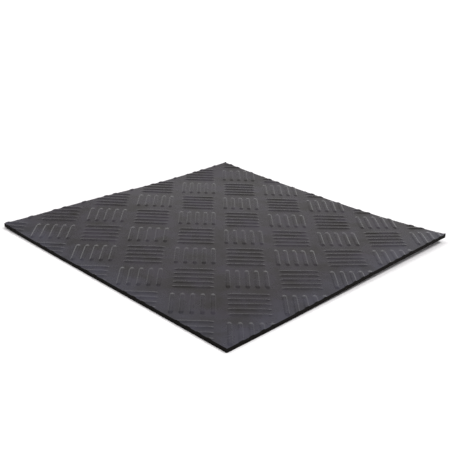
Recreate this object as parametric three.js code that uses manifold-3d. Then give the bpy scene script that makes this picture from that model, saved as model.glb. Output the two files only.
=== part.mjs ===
// A square piece of five-bar checker plate rubber matting, cut from the roll and laid on a level floor.
// Millimetres, +Z up. The origin is under the middle of the sheet, on the floor. Seen from the front
// corner (-X, -Y), the left corner is (-X, +Y), the right one (+X, -Y) and the back one (+X, +Y).
import * as THREE from "three";
import { mergeVertices } from "three/addons/utils/BufferGeometryUtils.js";
import Module from "manifold-3d";

const wasm = await Module();
wasm.setup();

// The cut piece
const SHEET_LENGTH = 250; // along X, from the front corner to the right one
const SHEET_WIDTH = 250; // along Y, from the front corner to the left one
const BASE_THICKNESS = 3; // smooth rubber between the bars

// The tread: square cells of parallel bars, each cell turned a quarter from its neighbours
const CELL_PITCH = 37.4; // from one cell to the next
const BARS_PER_CELL = 5;
const BAR_PITCH = 6.8; // from bar to bar inside a cell
const BAR_LENGTH = 30.2; // at its foot
const BAR_WIDTH = 3.8; // at its foot
const BAR_HEIGHT = 0.55; // above the smooth rubber
const BAR_DRAFT = 1; // how far a flank leans in from foot to top
const BAR_ROOT = 0.3; // how deep the bar's body runs into the base, to be one with it
const BAR_SIDES = 6; // facets round a bar, an even number

// How the sheet was cut from the roll
const TREAD_TURN = THREE.MathUtils.degToRad(44.5); // the bars run nearly corner to corner
const CELL_CORNER_ACROSS = 4.8; // the nearest cell corner, this far left of the middle of the sheet
const CELL_CORNER_NEAR = 28.6; // the same corner, this far in front of the middle

// How it lies: three corners and one edge don't quite settle on the floor
const LEFT_CORNER_LIFT = 1.2;
const LEFT_CORNER_REACH = 62; // how far in from the corner, along the diagonal, the curl starts
const BACK_CORNER_LIFT = 2.2;
const BACK_CORNER_REACH = 71;
const RIGHT_CORNER_LIFT = 4.3; // it fades along the front edge (-Y) to nothing at the front corner
const RIGHT_EDGE_REACH = 96; // how far in from that edge
const RIPPLE_LIFT = 1.2; // a low wave in the far edge (+Y)
const RIPPLE_REACH = 112; // how far the wave runs in from that edge
const RIPPLE_PLACE = 82; // from the left corner along that edge
const RIPPLE_HALF_WIDTH = 82;
const FOLD_STRIP = 4; // width of the smooth strips between the cells, where the sheet bends

const RUBBER = { color: 0x4a484b, roughness: 0.55, metalness: 0 };

// A curl that rises from nothing at its reach to one at the edge, with no kink where it starts.
const curl = (distance, reach) => Math.max(0, 1 - distance / reach) ** 2;

// Height of the underside over the floor, at a point of the sheet.
function lift(x, y) {
  const fromFrontLeft = x + SHEET_LENGTH / 2;
  const fromBackRight = SHEET_LENGTH / 2 - x;
  const fromFrontRight = y + SHEET_WIDTH / 2;
  const fromBackLeft = SHEET_WIDTH / 2 - y;
  const along = THREE.MathUtils.clamp(fromFrontLeft / SHEET_LENGTH, 0, 1);
  const wave = THREE.MathUtils.clamp((fromFrontLeft - RIPPLE_PLACE) / RIPPLE_HALF_WIDTH, -1, 1);
  const leftCurl = curl((fromFrontLeft + fromBackLeft) * Math.SQRT1_2, LEFT_CORNER_REACH);
  const backCurl = curl((fromBackRight + fromBackLeft) * Math.SQRT1_2, BACK_CORNER_REACH);
  const rightCurl = curl(fromFrontRight, RIGHT_EDGE_REACH) * Math.sin((along * Math.PI) / 2) ** 2;
  const ripple = curl(fromBackLeft, RIPPLE_REACH) * Math.cos((wave * Math.PI) / 2) ** 2;
  const corners = LEFT_CORNER_LIFT * leftCurl + BACK_CORNER_LIFT * backCurl;
  return corners + RIGHT_CORNER_LIFT * rightCurl + RIPPLE_LIFT * ripple;
}

// Height of the underside at a point of the tread's own frame, where the bars run along X and Y.
function treadLift(across, away) {
  const onSheet = new THREE.Vector2(across - CELL_CORNER_ACROSS, away - CELL_CORNER_NEAR);
  onSheet.rotateAround(new THREE.Vector2(), -TREAD_TURN);
  return lift(onSheet.x, onSheet.y);
}

// Raises a geometry in the tread's frame by the lift below it. Each cell stays flat, on the slope that
// the sheet has there, so the bars stand on flat rubber. The floor stops it from below.
function bend(geometry) {
  const at = geometry.getAttribute("position");
  const half = (CELL_PITCH - FOLD_STRIP) / 2;
  for (let i = 0; i < at.count; i++) {
    const across = (Math.floor(at.getX(i) / CELL_PITCH) + 0.5) * CELL_PITCH;
    const away = (Math.floor(at.getY(i) / CELL_PITCH) + 0.5) * CELL_PITCH;
    const riseAcross = treadLift(across + half, away) - treadLift(across - half, away);
    const riseAway = treadLift(across, away + half) - treadLift(across, away - half);
    const tilt = riseAcross * (at.getX(i) - across) + riseAway * (at.getY(i) - away);
    const raised = treadLift(across, away) + tilt / (2 * half);
    at.setZ(i, at.getZ(i) + Math.max(raised, 0));
  }
  return geometry;
}

// A closed geometry as a solid that can be joined and cut.
function solid(geometry) {
  geometry.deleteAttribute("normal");
  geometry.deleteAttribute("uv");
  const closed = mergeVertices(geometry, 1e-4);
  const vertProperties = new Float32Array(closed.getAttribute("position").array);
  const triVerts = new Uint32Array(closed.index.array);
  return new wasm.Manifold(new wasm.Mesh({ numProp: 3, vertProperties, triVerts }));
}

// A solid as a geometry with flat facets.
function faceted(body) {
  const mesh = body.getMesh();
  const geometry = new THREE.BufferGeometry();
  geometry.setAttribute("position", new THREE.BufferAttribute(mesh.vertProperties, 3));
  geometry.setIndex(new THREE.BufferAttribute(mesh.triVerts, 1));
  const flat = geometry.toNonIndexed();
  flat.computeVertexNormals();
  return flat;
}

// How many cells reach from the middle past the furthest corner, however the tread is turned.
function cellsEachWay() {
  return Math.ceil(Math.hypot(SHEET_LENGTH, SHEET_WIDTH) / 2 / CELL_PITCH) + 1;
}

// Brings a geometry from the tread's own frame, with the bars along X and Y, to the sheet.
function laidOnSheet(geometry) {
  return geometry.translate(-CELL_CORNER_ACROSS, -CELL_CORNER_NEAR, 0).rotateZ(-TREAD_TURN);
}

// Moves an evenly spaced line of the base to the nearest edge of a cell's flat square.
function squareEdge(line) {
  const startsSquare = Math.round(line / (CELL_PITCH / 2)) % 2 === 0;
  return line + (startsSquare ? FOLD_STRIP : CELL_PITCH - FOLD_STRIP) / 2;
}

// The smooth base before it is cut out, with a flat square for each cell and strips between them.
function baseStock() {
  const cells = 2 * cellsEachWay();
  const size = cells * CELL_PITCH;
  const base = new THREE.BoxGeometry(size, size, BASE_THICKNESS, 2 * cells, 2 * cells, 1);
  base.translate(0, 0, BASE_THICKNESS / 2);
  const at = base.getAttribute("position");
  for (let i = 0; i < at.count; i++) {
    at.setXY(i, squareEdge(at.getX(i)), squareEdge(at.getY(i)));
  }
  return laidOnSheet(bend(base));
}

// One bar with rounded ends and sloping flanks, along X, its root below the top of the base. It is a
// cone's frustum with a flat side along each flank, its two halves drawn apart to the bar's length.
function barBody() {
  const slope = BAR_DRAFT / BAR_HEIGHT;
  const flankShare = Math.cos(Math.PI / BAR_SIDES);
  const topRadius = (BAR_WIDTH / 2 - BAR_DRAFT) / flankShare;
  const rootRadius = (BAR_WIDTH / 2 + slope * BAR_ROOT) / flankShare;
  const height = BAR_HEIGHT + BAR_ROOT;
  const start = Math.PI / 2 - Math.PI / BAR_SIDES;
  const bar = new THREE.CylinderGeometry(topRadius, rootRadius, height, BAR_SIDES, 1, false, start);
  bar.rotateX(Math.PI / 2).rotateZ(Math.PI / 2);
  bar.translate(0, 0, BASE_THICKNESS + (BAR_HEIGHT - BAR_ROOT) / 2);
  const at = bar.getAttribute("position");
  const drawn = BAR_LENGTH / 2 - BAR_WIDTH / 2 / flankShare;
  const middle = BAR_WIDTH / 100;
  for (let i = 0; i < at.count; i++) {
    const x = at.getX(i);
    if (Math.abs(x) > middle) at.setX(i, x + Math.sign(x) * drawn);
  }
  return bar;
}

// Whether any of a geometry lies over the cut piece.
function isKept(geometry) {
  geometry.computeBoundingBox();
  const { min, max } = geometry.boundingBox;
  const overX = max.x > -SHEET_LENGTH / 2 && min.x < SHEET_LENGTH / 2;
  const overY = max.y > -SHEET_WIDTH / 2 && min.y < SHEET_WIDTH / 2;
  return overX && overY;
}

// Every bar that the cut piece keeps, whole or in part.
function treadBars() {
  const bars = [];
  const reach = cellsEachWay();
  for (let column = -reach; column < reach; column++) {
    for (let row = -reach; row < reach; row++) {
      const turn = (column + row) % 2 === 0 ? Math.PI / 2 : 0;
      for (let bar = 0; bar < BARS_PER_CELL; bar++) {
        const aside = (bar - (BARS_PER_CELL - 1) / 2) * BAR_PITCH;
        const body = barBody().translate(0, aside, 0).rotateZ(turn);
        body.translate((column + 0.5) * CELL_PITCH, (row + 0.5) * CELL_PITCH, 0);
        laidOnSheet(bend(body));
        if (isKept(body)) bars.push(body);
      }
    }
  }
  return bars;
}

// The block between the four straight knife cuts, tall enough to pass right through the sheet.
function cutOutline() {
  const lifts = LEFT_CORNER_LIFT + BACK_CORNER_LIFT + RIGHT_CORNER_LIFT + RIPPLE_LIFT;
  const tallest = BASE_THICKNESS + BAR_HEIGHT + lifts;
  return new THREE.BoxGeometry(SHEET_LENGTH, SHEET_WIDTH, 4 * tallest);
}

function treadSheet() {
  let stock = solid(baseStock());
  for (const bar of treadBars()) stock = stock.add(solid(bar));
  const piece = stock.intersect(solid(cutOutline()));
  const mesh = new THREE.Mesh(faceted(piece), new THREE.MeshStandardMaterial(RUBBER));
  mesh.name = "tread_sheet";
  return mesh;
}

const flooring = new THREE.Group();
flooring.add(treadSheet());

export default flooring;
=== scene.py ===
"""A square of five-bar checker plate rubber matting, lying on a pale studio floor.

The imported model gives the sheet's outline. The tread, the knife cuts and the rubber are made here.
Lengths are in metres, and a name that ends in _mm holds millimetres. Seen from the front corner
(-X, -Y), the left corner is (-X, +Y), the right one (+X, -Y) and the back one (+X, +Y).
"""

import logging
import math
from dataclasses import dataclass, field
from enum import Enum, IntEnum

import bmesh
import bpy
from mathutils import Matrix, Vector


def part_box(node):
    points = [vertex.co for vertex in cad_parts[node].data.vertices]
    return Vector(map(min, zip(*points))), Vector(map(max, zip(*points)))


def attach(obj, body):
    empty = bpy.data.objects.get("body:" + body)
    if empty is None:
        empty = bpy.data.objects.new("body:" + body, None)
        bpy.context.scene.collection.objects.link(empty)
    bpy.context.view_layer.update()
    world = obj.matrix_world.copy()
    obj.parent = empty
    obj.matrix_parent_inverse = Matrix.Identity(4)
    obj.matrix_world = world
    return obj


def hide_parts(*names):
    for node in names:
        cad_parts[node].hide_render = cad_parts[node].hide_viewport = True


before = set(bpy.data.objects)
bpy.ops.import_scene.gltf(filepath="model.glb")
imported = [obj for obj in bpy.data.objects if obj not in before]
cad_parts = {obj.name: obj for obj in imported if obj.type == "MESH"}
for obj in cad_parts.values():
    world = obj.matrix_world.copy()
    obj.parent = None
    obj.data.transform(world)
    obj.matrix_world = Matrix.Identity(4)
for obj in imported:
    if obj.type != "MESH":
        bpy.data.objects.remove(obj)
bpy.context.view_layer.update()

log = logging.getLogger("flooring")

MM = 0.001
NODE = "tread_sheet"
WELD = 0.01 * MM  # points closer than this are one point

# The colour sockets of a Mix node go by number, because its other kinds have the same names
COLOUR_A, COLOUR_B, MIXED = 6, 7, 2


def linear(hex_colour: str) -> tuple[float, float, float, float]:
    """Turns an sRGB hex colour into the linear values that a shader takes.

    Args:
        hex_colour: six hex digits, such as "4a484b".

    Returns:
        Red, green, blue and a full alpha.
    """
    parts = [int(hex_colour[i : i + 2], 16) / 255 for i in (0, 2, 4)]
    red, green, blue = (c / 12.92 if c <= 0.04045 else ((c + 0.055) / 1.055) ** 2.4 for c in parts)
    return (red, green, blue, 1.0)


def add_node(tree: bpy.types.NodeTree, kind: str, settings: dict | None = None,
             inputs: dict | None = None) -> bpy.types.Node:
    """Adds a shader node, sets it up and fills its inputs.

    Args:
        tree: the node tree that gets it.
        kind: the node's type, such as "ShaderNodeBump".
        settings: the node's own properties by name.
        inputs: values or output sockets by the input's name or number.

    Returns:
        The new node.
    """
    node = tree.nodes.new(kind)
    for name, value in (settings or {}).items():
        setattr(node, name, value)
    for name, value in (inputs or {}).items():
        if isinstance(value, bpy.types.NodeSocket):
            tree.links.new(value, node.inputs[name])
        else:
            node.inputs[name].default_value = value
    return node


def start_material(name: str) -> tuple[bpy.types.Material, bpy.types.Node]:
    """Starts a material.

    Args:
        name: what the real finish is.

    Returns:
        The material and its shader.
    """
    material = bpy.data.materials.new(name)
    material.use_nodes = True
    return material, material.node_tree.nodes["Principled BSDF"]


def finish_mesh(shape: bmesh.types.BMesh, name: str) -> bpy.types.Mesh:
    """Stores a finished shape as a mesh.

    Args:
        shape: the shape, which is freed.
        name: the mesh's name.

    Returns:
        The mesh.
    """
    mesh = bpy.data.meshes.new(name)
    shape.to_mesh(mesh)
    shape.free()
    return mesh


def add_object(name: str, data: bpy.types.ID) -> bpy.types.Object:
    """Adds an object to the scene.

    Args:
        name: the object's name.
        data: its mesh, lens or lamp.

    Returns:
        The new object, at the origin.
    """
    thing = bpy.data.objects.new(name, data)
    bpy.context.scene.collection.objects.link(thing)
    return thing


class Run(Enum):
    """Which way the bars of a cell run, seen from the front corner."""

    ACROSS = 0.0
    AWAY = math.pi / 2


class Face(IntEnum):
    """The sheet's kinds of surface, in the order of its material slots."""

    MOULDED = 0
    CUT = 1
    UNDERSIDE = 2


class Side(IntEnum):
    """Which side of the camera a light hangs on."""

    LEFT = -1
    RIGHT = 1


@dataclass(frozen=True)
class Curl:
    """How the sheet lies: three corners and one edge don't quite settle on the floor."""

    left_corner_mm: float = 1.2
    left_reach_mm: float = 62.0
    back_corner_mm: float = 2.2
    back_reach_mm: float = 71.0
    right_corner_mm: float = 4.3
    right_reach_mm: float = 96.0
    ripple_mm: float = 1.2
    ripple_reach_mm: float = 112.0
    ripple_place_mm: float = 82.0
    ripple_half_width_mm: float = 82.0

    @staticmethod
    def rise(distance_mm: float, reach_mm: float) -> float:
        """Rises from nothing at the reach to one at the edge, with no kink where it starts."""
        return max(0.0, 1.0 - distance_mm / reach_mm) ** 2

    def lift(self, x: float, y: float, half_length: float, half_width: float) -> float:
        """Gives the height of the underside over the floor.

        Args:
            x: place along the sheet.
            y: place across the sheet.
            half_length: half the sheet's size along X.
            half_width: half its size along Y.

        Returns:
            The height in metres.
        """
        front_left = (half_length + x) / MM
        back_right = (half_length - x) / MM
        front_right = (half_width + y) / MM
        back_left = (half_width - y) / MM
        along = min(max(front_left * MM / (2 * half_length), 0.0), 1.0)
        wave = min(max((front_left - self.ripple_place_mm) / self.ripple_half_width_mm, -1.0), 1.0)
        left = self.rise((front_left + back_left) * math.sqrt(0.5), self.left_reach_mm)
        back = self.rise((back_right + back_left) * math.sqrt(0.5), self.back_reach_mm)
        right = self.rise(front_right, self.right_reach_mm) * math.sin(along * math.pi / 2) ** 2
        ripple = self.rise(back_left, self.ripple_reach_mm) * math.cos(wave * math.pi / 2) ** 2
        corners = self.left_corner_mm * left + self.back_corner_mm * back
        return (corners + self.right_corner_mm * right + self.ripple_mm * ripple) * MM


@dataclass(frozen=True)
class Bar:
    """One bar of the tread: a low ridge with leaning flanks, a soft crest and long sloping ends."""

    length_mm: float = 30.2
    width_mm: float = 3.8
    height_mm: float = 0.55
    fillet_width_mm: float = 0.15
    fillet_height_mm: float = 0.05
    draft_mm: float = 0.88  # how far a flank leans in from foot to top
    crown_mm: float = 0.06  # how far the crest's shoulders lie below its ridge
    crest_round_mm: float = 0.42
    crest_steps: int = 2
    end_steps: int = 4
    end_stretch: float = 1.2  # how far an end's foot is drawn out, in half widths of the bar

    def build(self) -> bmesh.types.BMesh:
        """Makes the bar along X on the plane z = 0, open underneath.

        Returns:
            The bar as a mesh whose only open edges are its foot.
        """
        bar = bmesh.new()
        half_width = self.width_mm / 2 * MM
        crest = self.height_mm * MM
        section = [
            (-half_width, 0.0),
            (-half_width + self.fillet_width_mm * MM, self.fillet_height_mm * MM),
            (-half_width + self.draft_mm * MM, crest - self.crown_mm * MM),
            (0.0, crest),
        ]
        foot, toe, shoulder, ridge = (bar.verts.new((0, y, z)) for y, z in section)
        for pair in ((foot, toe), (toe, shoulder), (shoulder, ridge)):
            bar.edges.new(pair)
        bmesh.ops.bevel(bar, geom=[shoulder], offset=self.crest_round_mm * MM, affect="VERTICES",
                        segments=self.crest_steps, profile=0.5, material=-1)
        bmesh.ops.spin(bar, geom=bar.verts[:] + bar.edges[:], cent=(0, 0, 0), axis=(0, 0, 1),
                       angle=math.pi, steps=self.end_steps, use_merge=False)
        bmesh.ops.remove_doubles(bar, verts=bar.verts, dist=WELD)
        for vert in bar.verts:
            vert.co.x *= 1 + self.end_stretch * (1 - vert.co.z / crest)
        straight = self.length_mm / 2 * MM - half_width * (1 + self.end_stretch)
        bmesh.ops.translate(bar, verts=bar.verts, vec=(straight, 0, 0))
        open_side = [e for e in bar.edges
                     if e.is_boundary and all(abs(v.co.x - straight) < WELD for v in e.verts)]
        drawn = bmesh.ops.extrude_edge_only(bar, edges=open_side)["geom"]
        bmesh.ops.translate(bar, verts=[g for g in drawn if isinstance(g, bmesh.types.BMVert)],
                            vec=(-straight, 0, 0))
        bmesh.ops.mirror(bar, geom=bar.verts[:] + bar.edges[:] + bar.faces[:],
                         matrix=Matrix.Identity(4), merge_dist=WELD, axis="X")
        seam = [e for e in bar.edges if all(abs(v.co.x) < WELD for v in e.verts)]
        bmesh.ops.dissolve_edges(bar, edges=seam, use_verts=True)
        bmesh.ops.recalc_face_normals(bar, faces=bar.faces)
        return bar


@dataclass(frozen=True)
class Tread:
    """The pattern: square cells of parallel bars, each turned a quarter from its neighbours."""

    cell_mm: float = 37.4
    bars_per_cell: int = 5
    bar_pitch_mm: float = 6.8
    turn_deg: float = 44.5
    corner_across_mm: float = 4.8
    corner_near_mm: float = 28.6
    side_cuts: int = 3  # points along each side of a cell, which let the flat rubber bend
    bar: Bar = field(default_factory=Bar)

    def cell(self) -> bpy.types.Mesh:
        """Makes one cell, its bars along X, standing on flat rubber.

        Returns:
            The cell as a mesh of its own, centred on the origin.
        """
        patch = bmesh.new()
        ridge = finish_mesh(self.bar.build(), "ridge")
        for number in range(self.bars_per_cell):
            aside = (number - (self.bars_per_cell - 1) / 2) * self.bar_pitch_mm * MM
            before = len(patch.verts)
            patch.from_mesh(ridge)
            patch.verts.ensure_lookup_table()
            bmesh.ops.translate(patch, verts=patch.verts[before:], vec=(0, aside, 0))
        half_diagonal = self.cell_mm / math.sqrt(2) * MM
        square = bmesh.ops.create_circle(patch, segments=4, radius=half_diagonal,
                                         matrix=Matrix.Rotation(math.pi / 4, 4, "Z"))["verts"]
        sides = list({e for v in square for e in v.link_edges})
        bmesh.ops.subdivide_edges(patch, edges=sides, cuts=self.side_cuts)
        open_edges = [e for e in patch.edges if len(e.link_faces) < 2]
        bmesh.ops.triangle_fill(patch, use_beauty=True, edges=open_edges, normal=(0, 0, 1))
        bpy.data.meshes.remove(ridge)
        return finish_mesh(patch, "cell")

    def lay(self, half_length: float, half_width: float) -> bmesh.types.BMesh:
        """Lays cells side by side until they cover the sheet.

        Args:
            half_length: half the sheet's size along X.
            half_width: half its size along Y.

        Returns:
            The moulded face before it is cut out, on the plane z = 0.
        """
        face = bmesh.new()
        cell = self.cell()
        pitch = self.cell_mm * MM
        spare = pitch / math.sqrt(2)
        reach = math.ceil(math.hypot(half_length, half_width) / pitch) + 1
        on_sheet = Matrix.Rotation(-math.radians(self.turn_deg), 4, "Z") @ Matrix.Translation(
            (-self.corner_across_mm * MM, -self.corner_near_mm * MM, 0))
        for column in range(-reach, reach):
            for row in range(-reach, reach):
                middle = Vector(((column + 0.5) * pitch, (row + 0.5) * pitch, 0))
                lies = on_sheet @ middle
                if abs(lies.x) > half_length + spare or abs(lies.y) > half_width + spare:
                    continue
                run = Run.AWAY if (column + row) % 2 == 0 else Run.ACROSS
                before = len(face.verts)
                face.from_mesh(cell)
                face.verts.ensure_lookup_table()
                place = on_sheet @ Matrix.Translation(middle) @ Matrix.Rotation(run.value, 4, "Z")
                bmesh.ops.transform(face, matrix=place, verts=face.verts[before:])
        bmesh.ops.remove_doubles(face, verts=face.verts, dist=WELD)
        bpy.data.meshes.remove(cell)
        return face


@dataclass(frozen=True)
class MouldedRubber:
    """Black natural and styrene rubber, pressed in a hot steel mould.

    The press leaves a fine even grain with a soft satin sheen, strongest at low angles. Wax from
    the mix comes out as a faint bluish bloom, here along the two front cuts.
    """

    black: str = "191614"
    worn_black: str = "2c2830"
    bloom: str = "3d3e4a"
    ior: float = 1.5
    specular: float = 0.5
    roughness_low: float = 0.2
    roughness_high: float = 0.32
    grain_mm: float = 1.1  # real grain is about 0.2 mm, drawn coarser so that it shows
    grain_depth_mm: float = 0.012
    cloud_mm: float = 19.0  # patches of warmer and cooler black
    cloud_low: float = 0.35  # value of their noise where the black is pure
    cloud_high: float = 0.65  # and where it is all worn black
    ripple_mm: float = 9.0  # the low unevenness of a pressed face
    ripple_depth_mm: float = 0.05
    bloom_reach_mm: float = 30.0
    bloom_share: float = 0.9

    def make(self, half_length: float, half_width: float) -> bpy.types.Material:
        """Builds the material.

        Args:
            half_length: half the sheet's size along X, up to the front left cut.
            half_width: half its size along Y, up to the front right cut.

        Returns:
            The material for the tread face.
        """
        material, shader = start_material("moulded_black_rubber")
        tree = material.node_tree
        place = add_node(tree, "ShaderNodeTexCoord").outputs["Object"]
        cloud = add_node(tree, "ShaderNodeTexNoise", inputs={
            "Vector": place, "Scale": 1 / (self.cloud_mm * MM), "Detail": 4.0, "Roughness": 0.6})
        patch = add_node(tree, "ShaderNodeMapRange", inputs={
            "Value": cloud.outputs["Fac"], "From Min": self.cloud_low,
            "From Max": self.cloud_high})
        tone = add_node(tree, "ShaderNodeMix", {"data_type": "RGBA"}, {
            "Factor": patch.outputs["Result"],
            COLOUR_A: linear(self.black), COLOUR_B: linear(self.worn_black)})
        axes = add_node(tree, "ShaderNodeSeparateXYZ", inputs={"Vector": place})
        from_left_cut = add_node(tree, "ShaderNodeMath", {"operation": "ADD"}, {
            0: axes.outputs["X"], 1: half_length})
        from_right_cut = add_node(tree, "ShaderNodeMath", {"operation": "ADD"}, {
            0: axes.outputs["Y"], 1: half_width})
        nearest = add_node(tree, "ShaderNodeMath", {"operation": "SMOOTH_MIN"}, {
            0: from_left_cut.outputs["Value"], 1: from_right_cut.outputs["Value"],
            2: self.bloom_reach_mm * MM})
        edge = add_node(tree, "ShaderNodeMapRange", {"interpolation_type": "SMOOTHSTEP"}, {
            "Value": nearest.outputs["Value"], "From Min": 0.0,
            "From Max": self.bloom_reach_mm * MM, "To Min": self.bloom_share, "To Max": 0.0})
        bloom = add_node(tree, "ShaderNodeMath", {"operation": "MULTIPLY"}, {
            0: edge.outputs["Result"], 1: cloud.outputs["Fac"]})
        colour = add_node(tree, "ShaderNodeMix", {"data_type": "RGBA"}, {
            "Factor": bloom.outputs["Value"],
            COLOUR_A: tone.outputs[MIXED], COLOUR_B: linear(self.bloom)})
        sheen = add_node(tree, "ShaderNodeMapRange", inputs={
            "Value": cloud.outputs["Fac"], "From Min": self.cloud_low,
            "From Max": self.cloud_high, "To Min": self.roughness_low,
            "To Max": self.roughness_high})
        ripple = add_node(tree, "ShaderNodeTexNoise", inputs={
            "Vector": place, "Scale": 1 / (self.ripple_mm * MM), "Detail": 2.0})
        grain = add_node(tree, "ShaderNodeTexNoise", inputs={
            "Vector": place, "Scale": 1 / (self.grain_mm * MM), "Detail": 3.0, "Roughness": 0.6})
        waves = add_node(tree, "ShaderNodeBump", inputs={
            "Strength": 1.0, "Distance": self.ripple_depth_mm * MM,
            "Height": ripple.outputs["Fac"]})
        pores = add_node(tree, "ShaderNodeBump", inputs={
            "Strength": 1.0, "Distance": self.grain_depth_mm * MM, "Height": grain.outputs["Fac"],
            "Normal": waves.outputs["Normal"]})
        tree.links.new(colour.outputs[MIXED], shader.inputs["Base Color"])
        tree.links.new(sheen.outputs["Result"], shader.inputs["Roughness"])
        tree.links.new(pores.outputs["Normal"], shader.inputs["Normal"])
        shader.inputs["IOR"].default_value = self.ior
        shader.inputs["Specular IOR Level"].default_value = self.specular
        return material


@dataclass(frozen=True)
class KnifeCutRubber:
    """The same rubber, cut with a knife: blacker and duller, with fine lines along the cut."""

    black: str = "0a0908"
    streak: str = "14120f"
    roughness: float = 0.8
    specular: float = 0.08
    line_height_mm: float = 0.35
    line_length_mm: float = 14.0
    line_depth_mm: float = 0.03

    def make(self) -> bpy.types.Material:
        """Builds the material.

        Returns:
            The material for the four cut edges.
        """
        material, shader = start_material("knife_cut_rubber")
        tree = material.node_tree
        place = add_node(tree, "ShaderNodeTexCoord").outputs["Object"]
        along = 1 / (self.line_length_mm * MM)
        stretched = add_node(tree, "ShaderNodeMapping", inputs={
            "Vector": place, "Scale": (along, along, 1 / (self.line_height_mm * MM))})
        lines = add_node(tree, "ShaderNodeTexNoise", inputs={
            "Vector": stretched.outputs["Vector"], "Scale": 1.0, "Detail": 3.0, "Roughness": 0.65})
        colour = add_node(tree, "ShaderNodeMix", {"data_type": "RGBA"}, {
            "Factor": lines.outputs["Fac"],
            COLOUR_A: linear(self.black), COLOUR_B: linear(self.streak)})
        scored = add_node(tree, "ShaderNodeBump", inputs={
            "Strength": 1.0, "Distance": self.line_depth_mm * MM, "Height": lines.outputs["Fac"]})
        tree.links.new(colour.outputs[MIXED], shader.inputs["Base Color"])
        tree.links.new(scored.outputs["Normal"], shader.inputs["Normal"])
        shader.inputs["Roughness"].default_value = self.roughness
        shader.inputs["Specular IOR Level"].default_value = self.specular
        return material


@dataclass(frozen=True)
class PlainBackRubber:
    """The smooth underside, pressed against a plain plate: matt black with a slight grain."""

    black: str = "1c1b1c"
    worn_black: str = "252425"
    roughness: float = 0.62
    grain_mm: float = 1.4
    grain_depth_mm: float = 0.015

    def make(self) -> bpy.types.Material:
        """Builds the material.

        Returns:
            The material for the underside.
        """
        material, shader = start_material("plain_back_rubber")
        tree = material.node_tree
        place = add_node(tree, "ShaderNodeTexCoord").outputs["Object"]
        grain = add_node(tree, "ShaderNodeTexNoise", inputs={
            "Vector": place, "Scale": 1 / (self.grain_mm * MM), "Detail": 3.0})
        colour = add_node(tree, "ShaderNodeMix", {"data_type": "RGBA"}, {
            "Factor": grain.outputs["Fac"],
            COLOUR_A: linear(self.black), COLOUR_B: linear(self.worn_black)})
        pores = add_node(tree, "ShaderNodeBump", inputs={
            "Strength": 1.0, "Distance": self.grain_depth_mm * MM, "Height": grain.outputs["Fac"]})
        tree.links.new(colour.outputs[MIXED], shader.inputs["Base Color"])
        tree.links.new(pores.outputs["Normal"], shader.inputs["Normal"])
        shader.inputs["Roughness"].default_value = self.roughness
        return material


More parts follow.
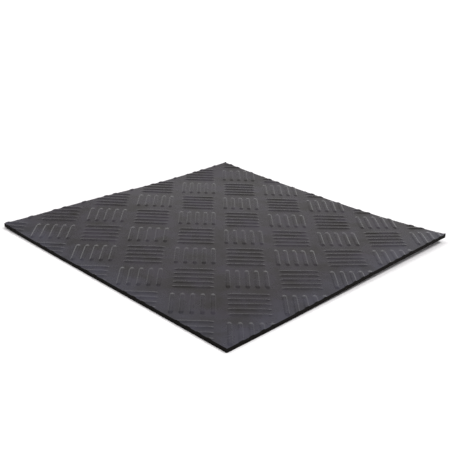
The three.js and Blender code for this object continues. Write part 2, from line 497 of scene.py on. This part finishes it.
@dataclass
class TreadSheet:
    """The whole sheet: moulded face, knife-cut edges and plain back, bent as it lies."""

    base_mm: float = 3.0
    bend_step_mm: float = 25.0
    tread: Tread = field(default_factory=Tread)
    curl: Curl = field(default_factory=Curl)

    def __post_init__(self) -> None:
        """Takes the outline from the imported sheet."""
        low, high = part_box(NODE)
        self.half_length = (high.x - low.x) / 2
        self.half_width = (high.y - low.y) / 2

    def spans(self) -> tuple[tuple[Vector, float], ...]:
        """Gives each direction across the sheet with half the sheet's size that way."""
        return ((Vector((1, 0, 0)), self.half_length), (Vector((0, 1, 0)), self.half_width))

    def cut_out(self, sheet: bmesh.types.BMesh) -> None:
        """Cuts the laid tread along the four sides.

        Args:
            sheet: the moulded face, larger than the sheet.
        """
        for normal, half in self.spans():
            for side in (1, -1):
                bmesh.ops.bisect_plane(sheet, geom=sheet.verts[:] + sheet.edges[:] + sheet.faces[:],
                                       dist=WELD, plane_co=normal * half * side,
                                       plane_no=normal * side, clear_outer=True)

    def thicken(self, sheet: bmesh.types.BMesh) -> None:
        """Draws the cut edges down to the floor and closes the back.

        Args:
            sheet: the cut-out face, at the height of the smooth rubber.
        """
        rim = [e for e in sheet.edges if e.is_boundary]
        drawn = bmesh.ops.extrude_edge_only(sheet, edges=rim)["geom"]
        for vert in (g for g in drawn if isinstance(g, bmesh.types.BMVert)):
            vert.co.z = 0.0
        for face in (g for g in drawn if isinstance(g, bmesh.types.BMFace)):
            face.material_index = Face.CUT
        foot = [g for g in drawn if isinstance(g, bmesh.types.BMEdge) and g.is_boundary]
        back = bmesh.ops.contextual_create(sheet, geom=foot)["faces"]
        for face in back:
            face.material_index = Face.UNDERSIDE

    def bend(self, sheet: bmesh.types.BMesh) -> None:
        """Gives the back and the edges lines to bend along, and lifts every point.

        Args:
            sheet: the flat sheet, closed all round.
        """
        step = self.bend_step_mm * MM
        for normal, half in self.spans():
            for line in range(-int(half / step), int(half / step) + 1):
                plain = [f for f in sheet.faces if f.material_index != Face.MOULDED]
                around = {e for f in plain for e in f.edges}
                corners = {v for f in plain for v in f.verts}
                bmesh.ops.bisect_plane(sheet, geom=[*corners, *around, *plain], dist=WELD,
                                       plane_co=normal * line * step, plane_no=normal)
        for vert in sheet.verts:
            vert.co.z += self.curl.lift(vert.co.x, vert.co.y, self.half_length, self.half_width)

    def build(self) -> bpy.types.Object:
        """Makes the sheet as one closed mesh.

        Returns:
            The sheet's object, at the origin.
        """
        sheet = self.tread.lay(self.half_length, self.half_width)
        self.cut_out(sheet)
        bmesh.ops.translate(sheet, verts=sheet.verts, vec=(0, 0, self.base_mm * MM))
        self.thicken(sheet)
        self.bend(sheet)
        bmesh.ops.recalc_face_normals(sheet, faces=sheet.faces)
        for face in sheet.faces:
            face.smooth = face.material_index != Face.CUT
        for edge in sheet.edges:
            edge.smooth = len({f.material_index for f in edge.link_faces}) == 1
        piece = add_object("rubber_tread_sheet", finish_mesh(sheet, "rubber_tread_sheet"))
        shading = piece.modifiers.new("flat ground, soft bars", "WEIGHTED_NORMAL")
        shading.keep_sharp = True
        return piece

    def dress(self, piece: bpy.types.Object) -> None:
        """Gives the sheet its three finishes, in the order of Face.

        Args:
            piece: the sheet's object.
        """
        piece.data.materials.append(MouldedRubber().make(self.half_length, self.half_width))
        piece.data.materials.append(KnifeCutRubber().make())
        piece.data.materials.append(PlainBackRubber().make())


@dataclass(frozen=True)
class Studio:
    """A white floor in a pale light tent, with a strong soft light high up on either side."""

    eye_mm: tuple[float, float, float] = (-404.9, -389.2, 239.3)
    heading_deg: float = -46.13
    pitch_deg: float = -22.38
    roll_deg: float = 2.32
    lens_mm: float = 60.52
    clip_mm: float = 10.0
    floor_size: float = 40.0
    floor_gap_mm: float = 0.1
    floor_colour: str = "fbfafa"
    floor_roughness: float = 0.9
    floor_specular: float = 0.1
    # The tent's cloth from the horizon up, each colour with the sine of its elevation
    cloth: tuple[tuple[float, str], ...] = (
        (0.07, "ffffff"), (0.37, "b1aeb0"), (0.48, "c1bec0"), (0.66, "a3a1a3"), (1.0, "cbc9cb"))
    # The side behind the camera, by the cosine off its heading where it starts and is full
    near_side: str = "c0bec0"
    near_facing: tuple[float, float] = (0.3, -0.6)
    # The tent's wings, by the sine off the heading and the sine of the elevation
    wings: str = "7c7a7c"
    wings_aside: tuple[float, float] = (0.02, 0.38)
    wings_above: tuple[float, float] = (0.2, 0.38)
    tent_strength: float = 1.0
    left_strength: float = 0.9
    right_strength: float = 1.85
    side_spread_deg: float = 26.0
    side_height_deg: float = 63.0

    def heading(self) -> Matrix:
        """Turns from the world's axes to the camera's heading."""
        return Matrix.Rotation(math.radians(self.heading_deg), 4, "Z")

    def camera(self) -> None:
        """Sets up the camera where the photograph was taken from."""
        lens = bpy.data.cameras.new("camera")
        lens.lens = self.lens_mm
        lens.clip_start = self.clip_mm * MM
        camera = add_object("camera", lens)
        place = Matrix.Translation(Vector(self.eye_mm) * MM)
        tilt = Matrix.Rotation(math.radians(90 + self.pitch_deg), 4, "X")
        roll = Matrix.Rotation(math.radians(self.roll_deg), 4, "Z")
        camera.matrix_world = place @ self.heading() @ tilt @ roll
        bpy.context.scene.camera = camera

    def floor(self) -> None:
        """Lays the floor just under the sheet."""
        ground = bmesh.new()
        bmesh.ops.create_grid(ground, x_segments=1, y_segments=1, size=self.floor_size / 2,
                              matrix=Matrix.Translation((0, 0, -self.floor_gap_mm * MM)))
        floor = add_object("floor", finish_mesh(ground, "floor"))
        paper, shader = start_material("matt_white_paper")
        shader.inputs["Base Color"].default_value = linear(self.floor_colour)
        shader.inputs["Roughness"].default_value = self.floor_roughness
        shader.inputs["Specular IOR Level"].default_value = self.floor_specular
        floor.data.materials.append(paper)

    def tent(self) -> None:
        """Makes the light tent, brightest at the horizon and dimmer up, aside and behind."""
        world = bpy.data.worlds.new("studio")
        world.use_nodes = True
        tree = world.node_tree
        away = self.heading() @ Vector((0, 1, 0))
        across = self.heading() @ Vector((1, 0, 0))
        look = add_node(tree, "ShaderNodeTexCoord").outputs["Generated"]
        height = add_node(tree, "ShaderNodeSeparateXYZ", inputs={"Vector": look})
        ramp = add_node(tree, "ShaderNodeValToRGB", inputs={"Fac": height.outputs["Z"]})
        while len(ramp.color_ramp.elements) < len(self.cloth):
            ramp.color_ramp.elements.new(1.0)
        for stop, (elevation, colour) in zip(ramp.color_ramp.elements, self.cloth):
            stop.position = elevation
            stop.color = linear(colour)
        facing = add_node(tree, "ShaderNodeVectorMath", {"operation": "DOT_PRODUCT"}, {
            0: look, 1: away})
        near = add_node(tree, "ShaderNodeMapRange", {"interpolation_type": "SMOOTHSTEP"}, {
            "Value": facing.outputs["Value"], "From Min": self.near_facing[0],
            "From Max": self.near_facing[1]})
        sideways = add_node(tree, "ShaderNodeVectorMath", {"operation": "DOT_PRODUCT"}, {
            0: look, 1: across})
        aside = add_node(tree, "ShaderNodeMath", {"operation": "ABSOLUTE"}, {
            0: sideways.outputs["Value"]})
        wing = add_node(tree, "ShaderNodeMapRange", {"interpolation_type": "SMOOTHSTEP"}, {
            "Value": aside.outputs["Value"], "From Min": self.wings_aside[0],
            "From Max": self.wings_aside[1]})
        above = add_node(tree, "ShaderNodeMapRange", {"interpolation_type": "SMOOTHSTEP"}, {
            "Value": height.outputs["Z"], "From Min": self.wings_above[0],
            "From Max": self.wings_above[1]})
        dimmed = add_node(tree, "ShaderNodeMath", {"operation": "MULTIPLY"}, {
            0: wing.outputs["Result"], 1: above.outputs["Result"]})
        winged = add_node(tree, "ShaderNodeMix", {"data_type": "RGBA"}, {
            "Factor": dimmed.outputs["Value"],
            COLOUR_A: ramp.outputs["Color"], COLOUR_B: linear(self.wings)})
        colour = add_node(tree, "ShaderNodeMix", {"data_type": "RGBA"}, {
            "Factor": near.outputs["Result"],
            COLOUR_A: winged.outputs[MIXED], COLOUR_B: linear(self.near_side)})
        light = tree.nodes["Background"]
        tree.links.new(colour.outputs[MIXED], light.inputs["Color"])
        light.inputs["Strength"].default_value = self.tent_strength
        bpy.context.scene.world = world

    def side_light(self, name: str, strength: float, side: Side) -> None:
        """Hangs a soft light high up beside the sheet.

        Args:
            name: the light's name.
            strength: how much light falls on a surface that faces it.
            side: where it hangs, seen from the camera.
        """
        lamp = bpy.data.lights.new(name, "SUN")
        lamp.energy = strength
        lamp.angle = math.radians(self.side_spread_deg)
        light = add_object(name, lamp)
        tilt = Matrix.Rotation(side * math.radians(90 - self.side_height_deg), 4, "Y")
        light.matrix_world = self.heading() @ tilt

    def build(self) -> None:
        """Sets up the camera, floor and light."""
        self.camera()
        self.floor()
        self.tent()
        self.side_light("left_softbox", self.left_strength, Side.LEFT)
        self.side_light("right_softbox", self.right_strength, Side.RIGHT)
        bpy.context.scene.view_settings.view_transform = "Standard"


def main() -> None:
    """Builds the studio and the sheet."""
    logging.basicConfig(level=logging.INFO, format="%(name)s: %(message)s")
    Studio().build()
    log.info("studio ready")
    sheet = TreadSheet()
    piece = sheet.build()
    sheet.dress(piece)
    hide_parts(NODE)
    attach(piece, "root")
    log.info("%s: %d faces", piece.name, len(piece.data.polygons))


if __name__ == "__main__":
    main()
